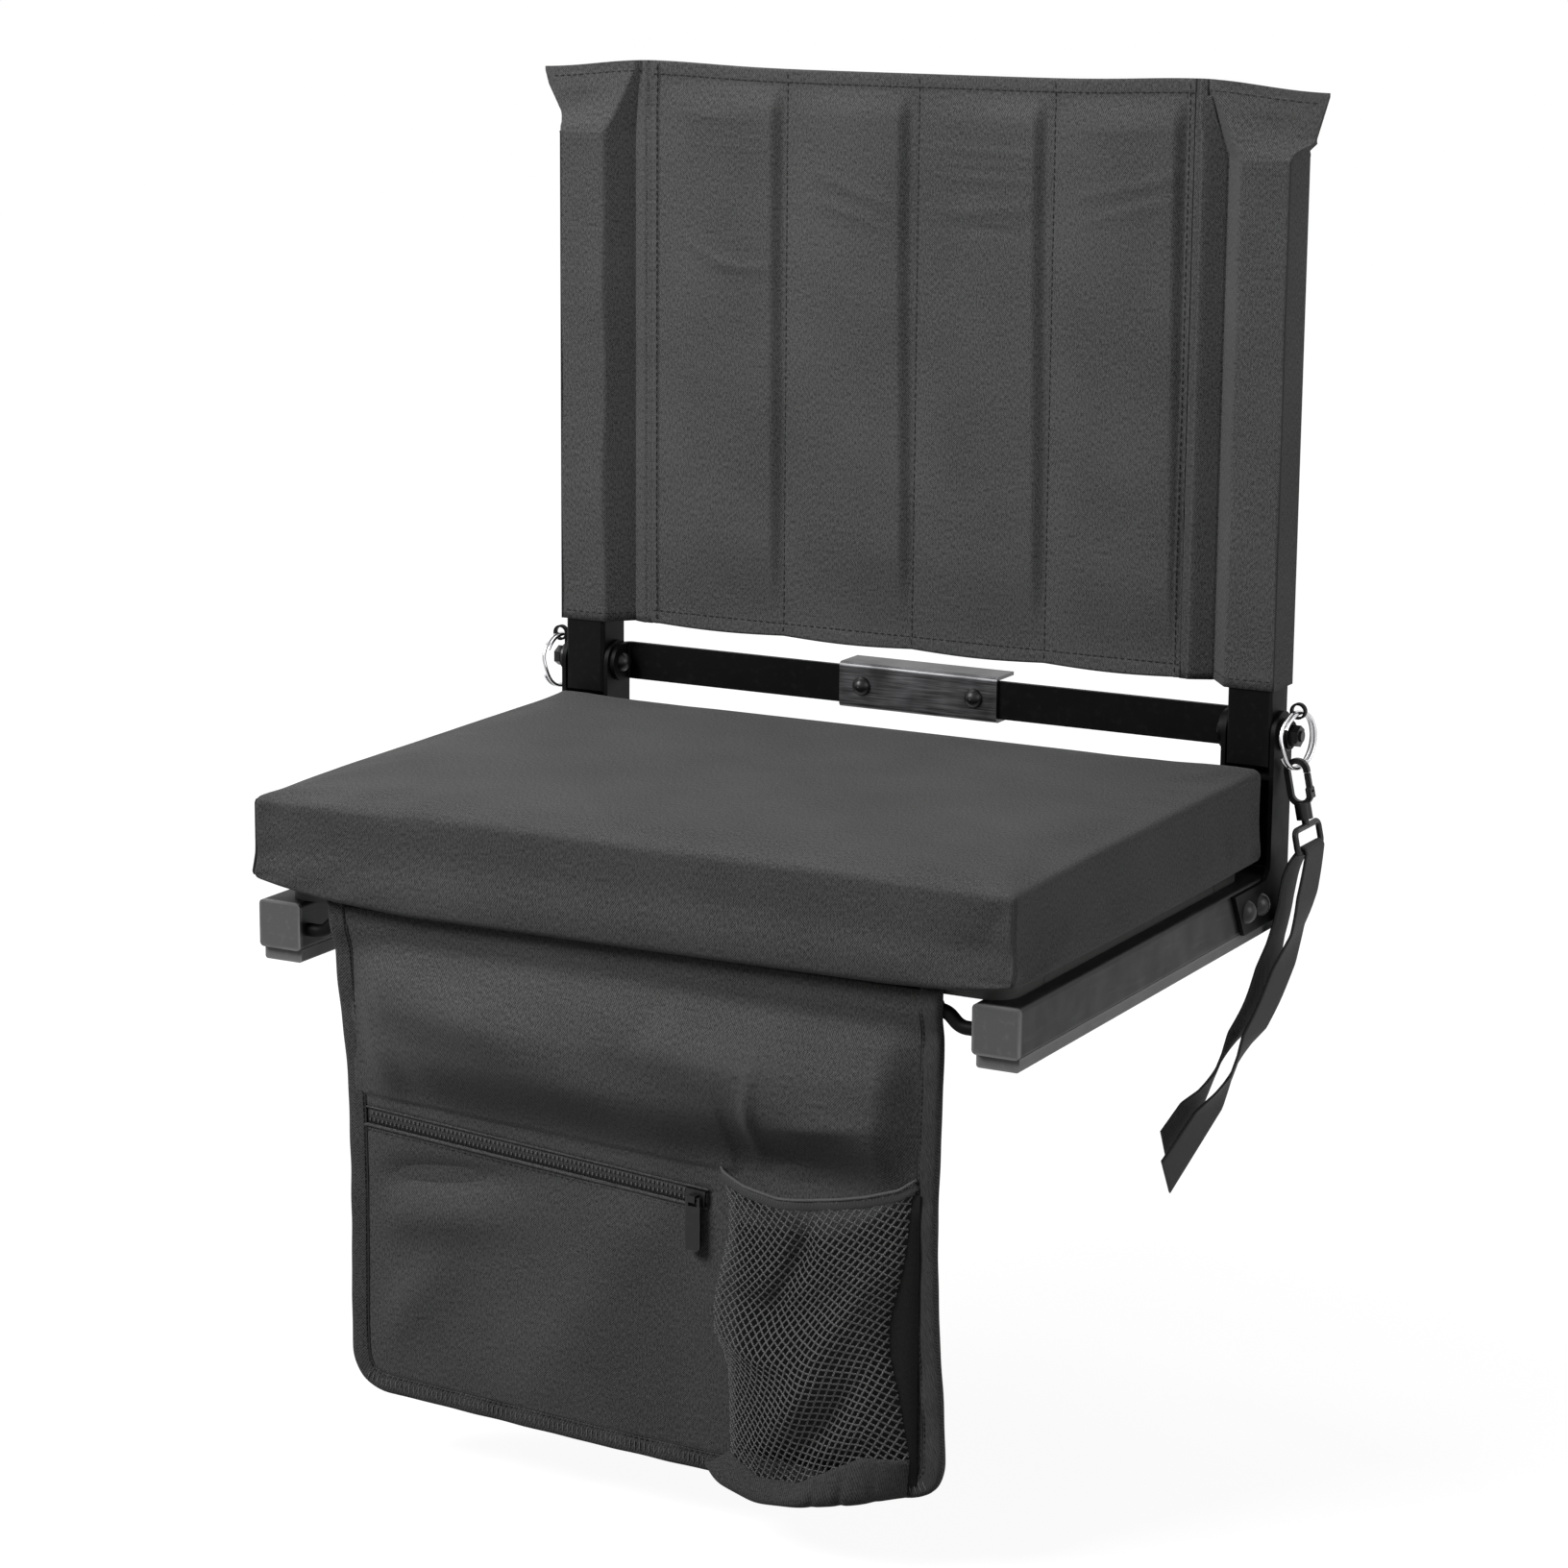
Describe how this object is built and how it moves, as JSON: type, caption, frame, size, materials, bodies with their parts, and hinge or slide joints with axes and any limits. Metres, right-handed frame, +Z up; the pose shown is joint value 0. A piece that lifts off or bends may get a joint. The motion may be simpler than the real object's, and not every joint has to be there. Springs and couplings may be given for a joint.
{
  "type": "bleacher seat",
  "caption": "Portable folding bleacher seat with a padded cushion on a steel frame, a padded sling back that folds down, a hanging zip and mesh pocket bag, and a strap on rings.",
  "frame": {"origin": "on the bench plane under the foot strips, midway between the rails, level with the fronts of the rail caps", "axes": "+X to the right seen from the front, +Y towards the back rest, +Z up"},
  "size_m": [0.47, 0.3654, 0.679],
  "materials": {
    "black_powder_coat": "satin black powder coat",
    "dark_channel_steel": "dark brushed steel",
    "grey_plastic": "moulded plastic",
    "foot_plastic": "moulded plastic",
    "black_hardware": "black oxide",
    "bright_steel": "bright plated wire",
    "black_hook_metal": "black enamel",
    "plywood": "black stained plywood",
    "cushion_cloth": "woven polyester",
    "foam": "open-cell foam",
    "sling_cloth": "woven polyester",
    "bag_cloth": "coated woven polyester",
    "zipper_coil": "nylon coil on woven tape",
    "net": "knitted net",
    "webbing": "woven webbing"
  },
  "bodies": {
    "seat_frame": {"left_seat_rail": "black_powder_coat", "right_seat_rail": "black_powder_coat", "left_front_cap": "grey_plastic", "right_front_cap": "grey_plastic", "rail_rear_caps": "grey_plastic", "left_foot_strip": "foot_plastic", "right_foot_strip": "foot_plastic", "left_hinge_bracket": "black_powder_coat", "right_hinge_bracket": "black_powder_coat", "rail_bolts": "black_hardware", "rail_nuts": "black_hardware", "rear_stretcher": "black_powder_coat", "bag_rod": "black_powder_coat", "seat_board": "plywood", "board_screws": "black_hardware", "seat_cover": "cushion_cloth", "seat_foam": "foam", "left_pivot_bolt": "black_hardware", "right_pivot_bolt": "black_hardware", "pivot_washers": "black_hardware", "pivot_nuts": "black_hardware", "brace_bar_left": "black_powder_coat", "brace_bar_right": "black_powder_coat", "brace_channel": "dark_channel_steel", "brace_bolts": "black_hardware", "brace_nuts": "black_hardware", "left_ring_lug": "black_powder_coat", "right_ring_lug": "black_powder_coat"},
    "back": {"left_upright": "black_powder_coat", "right_upright": "black_powder_coat", "upright_caps": "grey_plastic", "left_sleeve": "sling_cloth", "right_sleeve": "sling_cloth", "back_panel": "sling_cloth", "back_pads": "foam"},
    "bag": {"bag_back_panel": "bag_cloth", "bag_front_panel": "bag_cloth", "bag_binding": "bag_cloth", "zipper_tape": "zipper_coil", "zipper_chain": "zipper_coil", "mesh_pocket": "net", "mesh_hem": "net"},
    "zip_slider": {"zipper_slider": "black_hook_metal"},
    "zip_pull": {"zipper_pull": "black_hook_metal"},
    "left_ring": {"left_split_ring": "bright_steel"},
    "right_ring": {"right_split_ring": "bright_steel"},
    "snap_hook": {"hook_body": "black_hook_metal", "gate_pin": "black_hook_metal"},
    "gate": {"hook_gate": "black_hook_metal"},
    "strap_swivel": {"swivel_eye": "black_hook_metal", "strap": "webbing"}
  },
  "joints": [
    {"name": "back_fold", "type": "hinge", "parent": "seat_frame", "child": "back", "pos_m": [0, 0.3175, 0.107], "axis": [1, 0, 0], "range_deg": [0, 90]},
    {"name": "bag_swing", "type": "hinge", "parent": "seat_frame", "child": "bag", "pos_m": [0, 0.008, 0.024], "axis": [1, 0, 0], "range_deg": [-90, 60]},
    {"name": "zipper_run", "type": "slide", "parent": "bag", "child": "zip_slider", "axis": [0.9979, 0, -0.0645], "range_m": [-0.188, 0]},
    {"name": "pull_swing", "type": "hinge", "parent": "zip_slider", "child": "zip_pull", "pos_m": [0.03999, 0.00145, -0.08881], "axis": [1, 0, 0], "range_deg": [-150, 3]},
    {"name": "left_ring_swing", "type": "hinge", "parent": "seat_frame", "child": "left_ring", "pos_m": [-0.22665, 0.3175, 0.1204], "axis": [0.1392, 0.9903, 0], "range_deg": [0, 100]},
    {"name": "right_ring_swing", "type": "hinge", "parent": "seat_frame", "child": "right_ring", "pos_m": [0.22665, 0.3175, 0.1204], "axis": [0.2079, 0.9781, 0], "range_deg": [-100, 0]},
    {"name": "hook_swing", "type": "hinge", "parent": "right_ring", "child": "snap_hook", "pos_m": [0.22665, 0.3175, 0.0896], "axis": [0.2079, 0.9781, 0], "range_deg": [-30, 0]},
    {"name": "gate_open", "type": "hinge", "parent": "snap_hook", "child": "gate", "pos_m": [0.23445, 0.3175, 0.07935], "axis": [0, 1, 0], "range_deg": [-25, 0], "stiffness_Nm_per_rad": 0.02},
    {"name": "swivel_turn", "type": "hinge", "parent": "snap_hook", "child": "strap_swivel", "pos_m": [0.22665, 0.3175, 0.0896], "axis": [-0.2079, 0, 0.9781], "range_deg": [-12, 12]}
  ]
}
